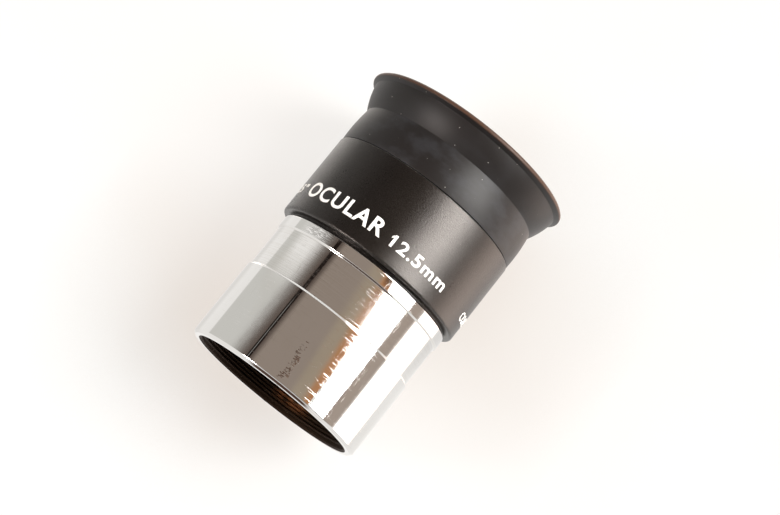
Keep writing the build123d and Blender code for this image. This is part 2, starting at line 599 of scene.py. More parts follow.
@dataclass(frozen=True)
class MattBlack(Finish):
    """Matt black of the light path, with the tool's fine rings, and a painted brown glow, standing in for a
    warm reflection, on the far wall where filters screw in.
    """

    colour: Colour = (0.011, 0.0098, 0.009)
    dusty: Stain = Stain((0.12, 0.10, 0.085), 0.5)
    # Painted glow: brown standing in for a warm reflection on the bore's far wall.
    painted_glow: Stain = Stain((0.20, 0.075, 0.028))
    sheen: Colour = (1.0, 0.97, 0.94)
    paler: float = 1.6
    roughness: float = 0.55
    roughness_swing: float = 0.08
    shine: float = 0.5
    # Strength of the painted brown glow; 0 leaves none.
    rubbing_and_glow: float = 0.0
    painted_glow_x: float = 3.4
    painted_glow_width: float = 4.5
    painted_glow_core: float = 0.5
    painted_glow_low: float = 1.0
    painted_glow_low_fade: float = 1.6
    painted_glow_high: float = 5.2
    painted_glow_high_fade: float = 1.0
    grain_depth: float = 0.003
    rings_depth: float = 0.004
    rings: Pattern = Pattern(9.0, 0.09, detail=1.0)
    grain: Pattern = Pattern(0.15, 0.15)
    dust: Pattern = Pattern(0.22, 0.22, 0.76, 0.82, detail=0.0)
    wear_and_glow: Pattern = Pattern(1.4, 0.5, 0.30, 0.62, detail=3.0)

    def painted_glow_mask(self, bench: Bench, place: Socket) -> Socket:
        """Where the painted brown glow lies, standing in for a warm reflection in the bore.

        Args:
            bench: The material's tree.
            place: Object coordinates.

        Returns:
            1 where the painted glow is strongest.
        """
        axes = bench.axes(place)
        return bench.product(
            bench.near(axes["X"], self.painted_glow_x, self.painted_glow_width, self.painted_glow_core),
            bench.math("GREATER_THAN", axes["Y"], 0.0),
            bench.rise(axes["Z"], self.painted_glow_low, self.painted_glow_low_fade),
            bench.rise(axes["Z"], self.painted_glow_high, -self.painted_glow_high_fade),
            bench.spread(place, self.wear_and_glow),
            self.rubbing_and_glow)

    def dress(self, bench: Bench, shader: bpy.types.Node, place: Socket) -> None:
        """Wire colour, roughness and bump.

        Args:
            bench: The material's tree.
            shader: Its Principled node.
            place: Object coordinates.
        """
        grain = bench.spread(place, self.grain)
        dust = bench.spread(place, self.dust)
        rubbing_and_glow = self.painted_glow_mask(bench, place)
        tint = bench.blend(grain, self.colour, tuple(self.paler * part for part in self.colour))
        # The dust, then the painted brown glow, over the black.
        tint = bench.stained(tint, (dust, self.dusty), (rubbing_and_glow, self.painted_glow))
        bench.put(shader.inputs["Base Color"], tint)
        swing = self.roughness_swing
        rough = bench.between(grain, self.roughness - swing, self.roughness + swing)
        bench.put(shader.inputs["Roughness"], rough)
        bench.put(shader.inputs["Specular Tint"], self.sheen)
        shader.inputs["Specular IOR Level"].default_value = self.shine
        normal = bench.bump(bench.spread(place, self.rings), self.rings_depth)
        bench.put(shader.inputs["Normal"], bench.bump(grain, self.grain_depth, normal))


@dataclass(frozen=True)
class MouldedRubber(Finish):
    """Matt moulded rubber with a bloom that thins on the flare, fine grain, specks of dust, and a painted
    warm reflection on the lip.
    """

    colour: Colour = (0.0078, 0.0061, 0.0057)
    bloomed: Stain = Stain((0.017, 0.0165, 0.0180))
    scuffed: Stain = Stain((0.017, 0.0165, 0.0180), 0.3)
    # Painted reflection: warm brown over the lip, standing in for warm light reflected there.
    painted_warm_reflection: Stain = Stain((0.072, 0.032, 0.017), 0.7)
    dusty: Stain = Stain((0.42, 0.4, 0.37), 0.7)
    bloom_from: float = 0.42
    bloom_full: float = 0.68
    # Share of the bloom left above the neck, which makes the flare darker than the band.
    flare_bloom: float = 0.25
    flare_from: float = 45.2
    flare_fade: float = 0.6
    warm_reflection_from: float = 50.1
    warm_reflection_fade: float = 0.35
    dust_spacing: float = 0.95
    dust_scarcity: float = 0.74
    dust_outer: float = 0.10
    dust_inner: float = 0.055
    smoothest: float = 0.38
    roughest: float = 0.49
    dusty_roughness: float = 0.2
    shine: float = 0.235
    fuzz: float = 0.05
    fuzz_roughness: float = 0.5
    grain_depth: float = 0.0045
    cloud_depth: float = 0.03
    cloud: Pattern = Pattern(5.5, 3.0, detail=4.0, roughness=0.6)
    grain: Pattern = Pattern(0.14, 0.14, detail=3.0, roughness=0.65)
    scuffs: Pattern = Pattern(2.2, 0.12, 0.68, 0.78, detail=1.0)

    def dust(self, bench: Bench, place: Socket) -> Socket:
        """Single specks of dust, as a mask.

        Args:
            bench: The material's tree.
            place: Object coordinates.

        Returns:
            1 on a speck.
        """
        cells = bench.scaled(place, self.dust_spacing, self.dust_spacing)
        specks = bench.add("ShaderNodeTexVoronoi", Vector=cells, Scale=1.0).outputs
        chosen = bench.add("ShaderNodeSeparateColor", Color=specks["Color"]).outputs["Red"]
        near = bench.step(specks["Distance"], self.dust_outer, self.dust_inner)
        return bench.product(near, bench.math("GREATER_THAN", chosen, self.dust_scarcity))

    def dress(self, bench: Bench, shader: bpy.types.Node, place: Socket) -> None:
        """Wire colour, roughness and bump.

        Args:
            bench: The material's tree.
            shader: Its Principled node.
            place: Object coordinates.
        """
        cloud = bench.spread(place, self.cloud)
        dust = self.dust(bench, place)
        height = bench.axes(place)["Z"]
        # Towards the lip, where the painted warm reflection lies.
        near_lip = bench.rise(height, self.warm_reflection_from, self.warm_reflection_fade)
        # Less bloom from the neck up, so the flare is darker than the band.
        on_flare = bench.rise(height, self.flare_from, self.flare_fade)
        left = bench.between(on_flare, 1.0, self.flare_bloom)
        bloom = bench.product(bench.step(cloud, self.bloom_from, self.bloom_full), left)
        scuffs = bench.spread(place, self.scuffs)
        bench.put(shader.inputs["Base Color"], bench.stained(
            self.colour, (bloom, self.bloomed), (near_lip, self.painted_warm_reflection), (scuffs, self.scuffed),
            (dust, self.dusty)))
        rough = bench.between(cloud, self.smoothest, self.roughest)
        dulled = bench.product(dust, self.dusty_roughness)
        bench.put(shader.inputs["Roughness"], bench.total(rough, dulled))
        shader.inputs["Specular IOR Level"].default_value = self.shine
        shader.inputs["Sheen Weight"].default_value = self.fuzz
        shader.inputs["Sheen Roughness"].default_value = self.fuzz_roughness
        normal = bench.bump(bench.spread(place, self.grain), self.grain_depth)
        bench.put(shader.inputs["Normal"], bench.bump(cloud, self.cloud_depth, normal))


@dataclass(frozen=True)
class WhitePrint(Finish):
    """White printed ink, thinned by wear in places."""

    colour: Colour = (0.86, 0.85, 0.82)
    wear_and_glow: Stain = Stain((0.34, 0.33, 0.31), 0.7)
    grained: Stain = Stain((0.6, 0.59, 0.56), 0.2)
    smoothest: float = 0.4
    roughest: float = 0.65
    grain_depth: float = 0.004
    grain: Pattern = Pattern(0.12, 0.12, detail=3.0)
    rubbing_and_glow: Pattern = Pattern(0.45, 0.3, 0.60, 0.74, detail=3.0)

    def dress(self, bench: Bench, shader: bpy.types.Node, place: Socket) -> None:
        """Wire colour, roughness and bump.

        Args:
            bench: The material's tree.
            shader: Its Principled node.
            place: Object coordinates.
        """
        grain = bench.spread(place, self.grain)
        rubbing_and_glow = bench.spread(place, self.rubbing_and_glow)
        tint = bench.stained(self.colour, (rubbing_and_glow, self.wear_and_glow), (grain, self.grained))
        bench.put(shader.inputs["Base Color"], tint)
        bench.put(shader.inputs["Roughness"], bench.between(grain, self.smoothest, self.roughest))
        bench.put(shader.inputs["Normal"], bench.bump(grain, self.grain_depth))


@dataclass(frozen=True)
class CoatedGlass(Finish):
    """Polished lens glass with an anti-reflection film and a few specks of dust."""

    colour: Colour = (0.97, 0.99, 0.975)
    index: float = 1.58
    film_nanometres: float = 115.0
    film_index: float = 1.38
    smeared_roughness: float = 0.03
    dusty_roughness: float = 0.3
    smear: Pattern = Pattern(2.5, 2.5, 0.5, 0.8, detail=3.0)
    dust: Pattern = Pattern(0.12, 0.12, 0.80, 0.84, detail=0.0)

    def dress(self, bench: Bench, shader: bpy.types.Node, place: Socket) -> None:
        """Wire the glass.

        Args:
            bench: The material's tree.
            shader: Its Principled node.
            place: Object coordinates.
        """
        bench.put(shader.inputs["Roughness"], bench.total(
            bench.product(bench.spread(place, self.smear), self.smeared_roughness),
            bench.product(bench.spread(place, self.dust), self.dusty_roughness)))
        bench.put(shader.inputs["Base Color"], self.colour)
        shader.inputs["Transmission Weight"].default_value = 1.0
        shader.inputs["IOR"].default_value = self.index
        shader.inputs["Thin Film Thickness"].default_value = self.film_nanometres
        shader.inputs["Thin Film IOR"].default_value = self.film_index


@dataclass
class Finishes:
    """Every finish of the eyepiece, made once."""

    chrome: bpy.types.Material = field(default_factory=ChromePlate("chrome_plate").material)
    anodised: bpy.types.Material = field(default_factory=BlackAnodising("black_anodised").material)
    matt: bpy.types.Material = field(default_factory=MattBlack("matt_black").material)
    # The bore's black carries the painted brown glow.
    bore: bpy.types.Material = field(default_factory=MattBlack(
        "bore_black", colour=(0.0045, 0.0032, 0.0024), sheen=(1.0, 0.55, 0.3), roughness=0.6, shine=0.25,
        rubbing_and_glow=0.85).material)
    rubber: bpy.types.Material = field(default_factory=MouldedRubber("moulded_rubber").material)
    ink: bpy.types.Material = field(default_factory=WhitePrint("white_print").material)
    glass: bpy.types.Material = field(default_factory=CoatedGlass("coated_glass").material)


# ---------------------------------------------------------------- outlines
@dataclass(frozen=True)
class Corner:
    """A point of an outline: radius, height, and how far its rounding reaches, in millimetres."""

    r: float
    z: float
    rounding: float = 0.06


@dataclass
class Outline:
    """The outline of a turned piece, in order round its section."""

    corners: list[Corner]
    closed: bool = True
    arc_steps: int = 5
    support: float = 0.35
    longest_rounding: float = 0.3

    def rounded(self, before: Corner, corner: Corner, after: Corner) -> list[tuple[float, float]]:
        """One corner's points.

        Args:
            before: The corner before it.
            corner: The corner.
            after: The corner after it.

        Returns:
            Its points: the curve, and a point on each side that keeps the straight run's shading straight.
        """
        here = Vector((corner.r, corner.z))
        if corner.rounding <= 0:
            return [tuple(here)]
        back = Vector((before.r, before.z)) - here
        ahead = Vector((after.r, after.z)) - here
        reach = min(corner.rounding, self.longest_rounding * min(back.length, ahead.length))
        start = here + back.normalized() * reach
        end = here + ahead.normalized() * reach
        points = [start + back.normalized() * reach * self.support]
        for step in range(self.arc_steps + 1):
            t = step / self.arc_steps
            points.append(start * (1 - t) ** 2 + here * 2 * t * (1 - t) + end * t**2)
        points.append(end + ahead.normalized() * reach * self.support)
        return [tuple(point) for point in points]

    def points(self) -> list[tuple[float, float]]:
        """Every point of the outline. An open one starts and ends on the axis.

        Returns:
            The points, as radius and height in millimetres.
        """
        found = []
        count = len(self.corners)
        for index, corner in enumerate(self.corners):
            before = self.corners[index - 1]
            after = self.corners[(index + 1) % count]
            found += self.rounded(before, corner, after)
        return found

    def edges(self) -> list[tuple[int, int]]:
        """The outline's edges, as pairs of point numbers."""
        count = len(self.points())
        return [(index, (index + 1) % count) for index in range(count if self.closed else count - 1)]


def curve_points(shape: Callable[[float], tuple[float, float]], steps: int) -> list[Corner]:
    """Points along a smooth stretch of an outline.

    Args:
        shape: Gives radius and height at a share of the stretch, from 0 to 1.
        steps: How many spans the stretch has.

    Returns:
        The points inside the stretch, without its two ends.
    """
    return [Corner(*shape(index / steps), rounding=0.0) for index in range(1, steps)]


def bulged(start: tuple[float, float], end: tuple[float, float], bulge: float) -> Callable:
    """A gently curved line between two points of an outline.

    Args:
        start: Radius and height at share 0.
        end: Radius and height at share 1.
        bulge: How far its middle stands out to the right of the way from start to end.

    Returns:
        The function that curve_points takes.
    """
    run = Vector(end) - Vector(start)
    side = Vector((run.y, -run.x)).normalized()

    def shape(share: float) -> tuple[float, float]:
        """Radius and height at a share of the line."""
        return tuple(Vector(start) + run * share + side * (4 * bulge * share * (1 - share)))

    return shape


# ---------------------------------------------------------------- Geometry Nodes
class Tree:
    """A Geometry Nodes tree with named inputs, run once on a mesh."""

    def __init__(self, name: str, inputs: dict[str, str]) -> None:
        """Start an empty tree.

        Args:
            name: The tree's name.
            inputs: Its inputs after Geometry: name to socket type.
        """
        self.group = bpy.data.node_groups.new(name, "GeometryNodeTree")
        face = self.group.interface
        face.new_socket("Geometry", in_out="INPUT", socket_type="NodeSocketGeometry")
        for title, kind in inputs.items():
            face.new_socket(title, in_out="INPUT", socket_type=kind)
        face.new_socket("Geometry", in_out="OUTPUT", socket_type="NodeSocketGeometry")
        self.bench = Bench(self.group)
        self.inputs = self.group.nodes.new("NodeGroupInput").outputs

    def close(self, made: Socket) -> None:
        """End the tree in Realize Instances and Set Material, with smooth shading.

        Args:
            made: The geometry that the tree has made.
        """
        real = self.bench.add("GeometryNodeRealizeInstances", Geometry=made).outputs[0]
        smooth = self.bench.add("GeometryNodeSetShadeSmooth", Geometry=real).outputs[0]
        finish = self.inputs["Material"]
        dressed = self.bench.add("GeometryNodeSetMaterial", Geometry=smooth, Material=finish)
        self.bench.add("NodeGroupOutput", Geometry=dressed.outputs[0])

    def run(self, name: str, seed_mesh: bpy.types.Mesh, values: dict) -> bpy.types.Object:
        """Run the tree and keep its result as a plain mesh.

        Args:
            name: The new piece's name.
            seed_mesh: The mesh that the tree starts from.
            values: The tree's inputs, by name.

        Returns:
            The piece, with no modifier on it.
        """
        piece = bpy.data.objects.new(name, seed_mesh)
        bpy.context.scene.collection.objects.link(piece)
        modifier = piece.modifiers.new(self.group.name, "NODES")
        modifier.node_group = self.group
        for item in self.group.interface.items_tree:
            if item.in_out == "INPUT" and item.name in values:
                modifier[item.identifier] = values[item.name]
        graph = bpy.context.evaluated_depsgraph_get()
        made = bpy.data.meshes.new_from_object(piece.evaluated_get(graph))
        made.name = name
        piece.modifiers.clear()
        piece.data = made
        bpy.data.meshes.remove(seed_mesh)
        return piece


class Lathe:
    """Turns an outline about the optical axis."""

    def __init__(self, path_radius: float = 10.0) -> None:
        """Build the tree.

        Args:
            path_radius: Radius of the circle that the outline is swept along, in millimetres.
        """
        self.path_radius = path_radius
        tree = Tree("turned_piece", {
            "Segments": "NodeSocketInt", "Path Radius": "NodeSocketFloat", "Material": "NodeSocketMaterial"})
        bench = tree.bench
        outline = bench.add("GeometryNodeMeshToCurve", Mesh=tree.inputs["Geometry"]).outputs[0]
        path = bench.add(
            "GeometryNodeCurvePrimitiveCircle",
            Resolution=tree.inputs["Segments"], Radius=tree.inputs["Path Radius"]).outputs["Curve"]
        upright = bench.add("GeometryNodeSetCurveNormal", {"mode": "Z_UP"}, Curve=path)
        swept = bench.add(
            "GeometryNodeCurveToMesh", Curve=upright.outputs[0], Profile_Curve=outline).outputs[0]
        merged = bench.add("GeometryNodeMergeByDistance", Geometry=swept, Distance=TURNED_SEAM).outputs[0]
        tree.close(merged)
        self.tree = tree

    def turn(self, name: str, outline: Outline, material: bpy.types.Material,
             segments: int = 192) -> bpy.types.Object:
        """Turn one piece.

        Args:
            name: The piece's name.
            outline: Its outline.
            material: Its finish.
            segments: How many steps there are round the axis.

        Returns:
            The piece, closed, with its faces outwards.
        """
        points = [((r - self.path_radius) * MM, -z * MM, 0.0) for r, z in outline.points()]
        mesh = bpy.data.meshes.new(f"{name}_outline")
        mesh.from_pydata(points, outline.edges(), [])
        piece = self.tree.run(name, mesh, {
            "Segments": segments, "Path Radius": self.path_radius * MM, "Material": material})
        face_outwards(piece)
        return piece


class ThreadCutter:
    """Winds the crests of a screw thread along a helix."""

    def __init__(self) -> None:
        """Build the tree."""
        tree = Tree("thread_crests", {
            "Radius": "NodeSocketFloat", "Low": "NodeSocketFloat", "Pitch": "NodeSocketFloat",
            "Turns": "NodeSocketFloat", "Depth": "NodeSocketFloat", "Steps": "NodeSocketInt",
            "Material": "NodeSocketMaterial"})
        bench = tree.bench
        rise = bench.product(tree.inputs["Pitch"], tree.inputs["Turns"])
        helix = bench.add(
            "GeometryNodeCurveSpiral", Resolution=tree.inputs["Steps"], Rotations=tree.inputs["Turns"],
            Start_Radius=tree.inputs["Radius"], End_Radius=tree.inputs["Radius"], Height=rise).outputs[0]
        upright = bench.add("GeometryNodeSetCurveNormal", {"mode": "Z_UP"}, Curve=helix)
        diamond = bench.add("GeometryNodeCurvePrimitiveCircle", Resolution=4, Radius=1.0).outputs["Curve"]
        half = bench.product(tree.inputs["Pitch"], CREST_HALF_WIDTH)
        size = bench.add("ShaderNodeCombineXYZ", X=tree.inputs["Depth"], Y=half, Z=1.0).outputs[0]
        crest = bench.add("GeometryNodeTransform", Geometry=diamond, Scale=size).outputs[0]
        wound = bench.add(
            "GeometryNodeCurveToMesh", Curve=upright.outputs[0], Profile_Curve=crest,
            Fill_Caps=True).outputs[0]
        lift = bench.add("ShaderNodeCombineXYZ", Z=tree.inputs["Low"]).outputs[0]
        tree.close(bench.add("GeometryNodeTransform", Geometry=wound, Translation=lift).outputs[0])
        self.tree = tree

    def wind(self, name: str, radius: float, low: float, pitch: float, turns: float, depth: float,
             material: bpy.types.Material, steps_per_turn: int = 96) -> bpy.types.Object:
        """Wind one thread.

        Args:
            name: The piece's name.
            radius: Radius of the wall that the crests stand on.
            low: Height of its first turn.
            pitch: Height of one turn.
            turns: How many turns it has.
            depth: How far the crests stand off the wall.
            material: Its finish.
            steps_per_turn: How many straight steps one turn has.

        Returns:
            The crests, as one closed piece.
        """
        seed = bpy.data.meshes.new(f"{name}_seed")
        piece = self.tree.run(name, seed, {
            "Radius": radius * MM, "Low": low * MM, "Pitch": pitch * MM, "Turns": turns,
            "Depth": depth * MM, "Steps": steps_per_turn, "Material": material})
        face_outwards(piece)
        return piece


class Wrapper:
    """Lays a flat marking round a barrel."""

    def __init__(self) -> None:
        """Build the tree."""
        tree = Tree("marking_round_barrel", {
            "Radius": "NodeSocketFloat", "Start Angle": "NodeSocketFloat", "Height": "NodeSocketFloat",
            "Material": "NodeSocketMaterial"})
        bench = tree.bench
        fine = bench.add("GeometryNodeSubdivideMesh", Mesh=tree.inputs["Geometry"], Level=2).outputs[0]
        place = bench.add("GeometryNodeInputPosition").outputs[0]
        flat = bench.add("ShaderNodeSeparateXYZ", Vector=place).outputs
        turned_by = bench.math("DIVIDE", flat["X"], tree.inputs["Radius"])
        turn = bench.total(turned_by, tree.inputs["Start Angle"])
        reach = bench.total(flat["Z"], tree.inputs["Radius"])
        wrapped = bench.add(
            "ShaderNodeCombineXYZ",
            X=bench.product(reach, bench.math("SINE", turn)),
            Y=bench.product(reach, bench.math("COSINE", turn), -1.0),
            Z=bench.total(flat["Y"], tree.inputs["Height"])).outputs[0]
        tree.close(bench.add("GeometryNodeSetPosition", Geometry=fine, Position=wrapped).outputs[0])
        self.tree = tree

    def lay(self, name: str, flat: bpy.types.Mesh, radius: float, start_degrees: float, height: float,
            material: bpy.types.Material) -> bpy.types.Object:
        """Lay one marking.

        Args:
            name: The piece's name.
            flat: The marking as a flat solid, in metres: X along the text, Y up, Z off the surface.
            radius: The barrel's radius.
            start_degrees: Where its left end is, from -Y towards +X.
            height: Height of its base line.
            material: Its finish.

        Returns:
            The marking on the barrel.
        """
        piece = self.tree.run(name, flat, {
            "Radius": radius * MM, "Start Angle": math.radians(start_degrees), "Height": height * MM,
            "Material": material})
        face_outwards(piece)
        return piece


# ---------------------------------------------------------------- mesh helpers
def face_outwards(piece: bpy.types.Object) -> None:
    """Recalculate a closed piece's normals so that its faces point outwards.

    Args:
        piece: The piece.
    """
    mesh = bmesh.new()
    mesh.from_mesh(piece.data)
    bmesh.ops.recalc_face_normals(mesh, faces=mesh.faces)
    mesh.to_mesh(piece.data)
    mesh.free()


def dress_inside(piece: bpy.types.Object, material: bpy.types.Material,
                 inside: Callable[[float, float], bool]) -> None:
    """Give part of a turned piece a second finish.

    Args:
        piece: The piece.
        material: The second finish.
        inside: Says whether a face at this radius and height, in millimetres, takes it.
    """
    piece.data.materials.append(material)
    for face in piece.data.polygons:
        radius = math.hypot(face.center.x, face.center.y) / MM
        face.material_index = int(inside(radius, face.center.z / MM))


def redress(node: str, material: bpy.types.Material) -> None:
    """Give a CAD node that stays a better finish.

    Args:
        node: The node's name.
        material: The finish.
    """
    carried = frame["nodes"][node]
    carried.data.materials.clear()
    carried.data.materials.append(material)


def settle(piece: bpy.types.Object, nodes: Iterable[str] = (), body: str = ROOT_BODY) -> None:
    """Attach a finished piece to its body, and hide the CAD nodes that it stands for.

    Args:
        piece: The piece.
        nodes: The CAD nodes that it stands for.
        body: The body that it rides on.
    """
    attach(piece, body)
    if nodes:
        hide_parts(*nodes)


# ---------------------------------------------------------------- the eyepiece
@dataclass
class Nosepiece:
    """The chrome push-fit barrel, with its filter thread and baffled bore."""

    finishes: Finishes
    lathe: Lathe
    cutter: ThreadCutter
    end_chamfer: float = 0.45
    mouth_r: float = 14.53
    blackened_r: float = 14.95
    undercut_depth: float = 0.275
    undercut_low: float = 14.1
    undercut_high: float = 21.66
    top_z: float = 23.74
    top_chamfer: float = 0.2
    thread_r: float = 14.85
    filter_major_r: float = 14.25
    filter_minor_r: float = 13.925
    filter_pitch: float = 0.6
    filter_low_z: float = 0.55
    filter_top_z: float = 5.2
    filter_runout: float = 0.35
    filter_taper: float = 0.3
    bore_r: float = 13.5
    baffle_pitch: float = 0.5
    baffle_depth: float = 0.15
    baffle_low_gap: float = 0.25
    baffle_high_gap: float = 2.15
    shelf_z: float = 21.2
    upper_bore_r: float = 12.4

    def outline(self, outer_r: float, high_z: float) -> Outline:
        """The barrel's outline.

        Args:
            outer_r: The push fit's radius.
            high_z: Height of its male thread's end.

        Returns:
            The closed outline.
        """
        neck_r = outer_r - self.undercut_depth
        wall_r = self.bore_r + self.baffle_depth
        return Outline([
            Corner(self.mouth_r, 0.0, 0.08),
            Corner(outer_r - self.end_chamfer, 0.0, 0.1),
            Corner(outer_r, self.end_chamfer, 0.12),
            Corner(outer_r, self.undercut_low - self.undercut_depth, 0.05),
            Corner(neck_r, self.undercut_low, 0.05),
            Corner(neck_r, self.undercut_high - self.undercut_depth, 0.05),
            Corner(outer_r, self.undercut_high, 0.05),
            Corner(outer_r, self.top_z - self.top_chamfer, 0.06),
            Corner(outer_r - self.top_chamfer, self.top_z, 0.06),
            Corner(self.thread_r, self.top_z),
            Corner(self.thread_r, high_z),
            Corner(self.upper_bore_r, high_z),
            Corner(self.upper_bore_r, self.shelf_z),
            Corner(wall_r, self.shelf_z),
            Corner(wall_r, self.filter_top_z),
            Corner(self.filter_major_r, self.filter_top_z - self.filter_taper),
            Corner(self.filter_major_r, self.mouth_r - self.filter_major_r),
        ])

    def build(self) -> bpy.types.Object:
        """Turn the barrel and wind its threads.

        Returns:
            The barrel.
        """
        _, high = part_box("nosepiece")
        outline = self.outline(high.x / MM, high.z / MM)
        barrel = self.lathe.turn("nosepiece_barrel", outline, self.finishes.chrome)
        dress_inside(barrel, self.finishes.bore, lambda r, z: r < self.blackened_r)
        settle(barrel, ["nosepiece"])
        threaded = self.filter_top_z - self.filter_runout - self.filter_low_z
        crests = self.cutter.wind(
            "filter_thread", self.filter_major_r, self.filter_low_z, self.filter_pitch,
            threaded / self.filter_pitch, self.filter_major_r - self.filter_minor_r, self.finishes.bore)
        settle(crests)
        baffled = self.shelf_z - self.baffle_high_gap - self.baffle_low_gap - self.filter_top_z
        baffles = self.cutter.wind(
            "bore_baffles", self.bore_r + self.baffle_depth, self.filter_top_z + self.baffle_low_gap,
            self.baffle_pitch, baffled / self.baffle_pitch, self.baffle_depth, self.finishes.bore)
        settle(baffles)
        return barrel


@dataclass
class Housing:
    """The black anodised body, with the marking printed on it."""

    finishes: Finishes
    lathe: Lathe
    low_z: float = 24.2
    corner_r: float = 0.9
    top_z: float = 38.93
    top_bevel_r: float = 0.15
    top_bevel_z: float = 0.12
    seat_r: float = 15.3
    nose_top_z: float = 23.74
    socket_r: float = 14.9
    socket_top_z: float = 29.3
    bore_r: float = 13.8
    neck_r: float = 15.1
    flange_r: float = 15.6
    flange_low_z: float = 44.0
    flange_slope: float = 0.3
    dish_rim_r: float = 12.2
    dish_floor_r: float = 10.2
    dish_floor_z: float = 43.9
    web_bore_r: float = 9.25
    web_low_z: float = 41.6

    def outline(self, outer_r: float, high_z: float) -> Outline:
        """The body's outline.

        Args:
            outer_r: Its radius.
            high_z: Height of its eye end.

        Returns:
            The closed outline.
        """
        return Outline([
            Corner(self.seat_r, self.low_z),
            Corner(outer_r, self.low_z, self.corner_r),
            Corner(outer_r, self.top_z - self.top_bevel_z, 0.06),
            Corner(outer_r - self.top_bevel_r, self.top_z, 0.06),
            Corner(self.neck_r, self.top_z),
            Corner(self.neck_r, self.flange_low_z),
            Corner(self.flange_r, self.flange_low_z + self.flange_slope),
            Corner(self.flange_r, high_z, 0.2),
            Corner(self.dish_rim_r, high_z, 0.3),
            Corner(self.dish_floor_r, self.dish_floor_z, 0.3),
            Corner(self.web_bore_r, self.dish_floor_z, 0.1),
            Corner(self.web_bore_r, self.web_low_z),
            Corner(self.bore_r, self.web_low_z),
            Corner(self.bore_r, self.socket_top_z),
            Corner(self.socket_r, self.socket_top_z),
            Corner(self.socket_r, self.nose_top_z),
            Corner(self.seat_r, self.nose_top_z),
        ], arc_steps=7)

    def build(self) -> bpy.types.Object:
        """Turn the body.

        Returns:
            The body.
        """
        _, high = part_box("housing")
        outline = self.outline(high.x / MM, high.z / MM)
        body = self.lathe.turn("housing_body", outline, self.finishes.anodised)
        settle(body, ["housing"])
        return body


@dataclass(frozen=True)
class Words:
    """One printed marking: its text and its place on the body."""

    name: str
    text: str
    start_degrees: float
    base_z: float
    letter_height: float
    length: float
    boldness: float
    spacing: float = 1.12


@dataclass
class Marking:
    """The white print round the body."""

    finishes: Finishes
    wrapper: Wrapper
    proud: float = 0.025
    curve_steps: int = 6
    flag_drop: float = 0.22
    flag_reach: float = 0.16
    flag_thickness: float = 0.19
    flag_overlap: float = 0.3
    words: tuple[Words, ...] = (
        Words("marking_name", "OCULAR", -65.0, 27.0, 2.75, 17.0, 0.022),
        Words("marking_focus", "12.5mm", -1.0, 27.0, 2.1, 11.6, 0.02),
        Words("marking_fit", '1.25"', -95.0, 27.4, 1.7, 7.4, 0.02),
        Words("marking_coating", "COATED", 66.5, 26.8, 1.6, 8.4, 0.016),
    )

    def flat_solid(self, words: Words) -> bpy.types.Mesh:
        """The marking as a flat solid that starts at the origin.

        Args:
            words: What it says and how large it is.

        Returns:
            Its mesh, in metres.
        """
        text = bpy.data.curves.new(words.name, "FONT")
        text.body = words.text
        text.offset = words.boldness
        text.space_character = words.spacing
        text.extrude = 0.5
        text.resolution_u = self.curve_steps
        holder = bpy.data.objects.new(words.name, text)
        bpy.context.scene.collection.objects.link(holder)
        graph = bpy.context.evaluated_depsgraph_get()
        mesh = bpy.data.meshes.new_from_object(holder.evaluated_get(graph))
        bpy.data.objects.remove(holder)
        bpy.data.curves.remove(text)
        low, high = corners_of(mesh)
        wide = words.length * MM / (high.x - low.x)
        tall = words.letter_height * MM / (high.y - low.y)
        lift = 2 * self.proud * MM
        shift = Matrix.Translation((-low.x * wide, -low.y * tall, 0.0))
        mesh.transform(shift @ Matrix.Diagonal((wide, tall, lift, 1.0)))
        close_up(mesh)
        if words.text.startswith("1"):
            self.add_flag(mesh, words.letter_height)
        return mesh

    def add_flag(self, mesh: bpy.types.Mesh, letter_height: float) -> None:
        """Give the figure one at the left end of a marking its flag.

        Args:
            mesh: The flat marking, in metres.
            letter_height: Its letters' height, in millimetres.
        """
        top = letter_height * MM
        reach = self.flag_reach * top
        drop = self.flag_drop * top
        thickness = self.flag_thickness * top
        inner = self.flag_overlap * thickness
        tip = top - drop
        sides = [(inner, top), (inner, top - thickness), (-reach, tip - thickness), (-reach, tip)]
        flag = bmesh.new()
        flag.from_mesh(mesh)
        depth = self.proud * MM
        corners = [flag.verts.new((x, y, z)) for z in (-depth, depth) for x, y in sides]
        for ring in ((0, 1, 2, 3), (7, 6, 5, 4), (0, 4, 5, 1), (1, 5, 6, 2), (2, 6, 7, 3), (3, 7, 4, 0)):
            flag.faces.new([corners[index] for index in ring])
        flag.to_mesh(mesh)
        flag.free()

    def build(self) -> list[bpy.types.Object]:
        """Print every marking.

        Returns:
            The markings.
        """
        _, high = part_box("housing")
        made = []
        for words in self.words:
            piece = self.wrapper.lay(
                words.name, self.flat_solid(words), high.x / MM, words.start_degrees, words.base_z,
                self.finishes.ink)
            settle(piece)
            made.append(piece)
        return made


def corners_of(mesh: bpy.types.Mesh) -> tuple[Vector, Vector]:
    """The box round a mesh.

    Args:
        mesh: The mesh.

    Returns:
        Its lowest and its highest corner.
    """
    places = [vertex.co for vertex in mesh.vertices]
    low = Vector(min(place[axis] for place in places) for axis in range(3))
    high = Vector(max(place[axis] for place in places) for axis in range(3))
    return low, high


def close_up(mesh: bpy.types.Mesh) -> None:
    """Merge a mesh's doubled points, so that its seams are closed.

    Args:
        mesh: The mesh.
    """
    shape = bmesh.new()
    shape.from_mesh(mesh)
    bmesh.ops.remove_doubles(shape, verts=shape.verts, dist=LETTER_SEAM)
    shape.to_mesh(mesh)
    shape.free()


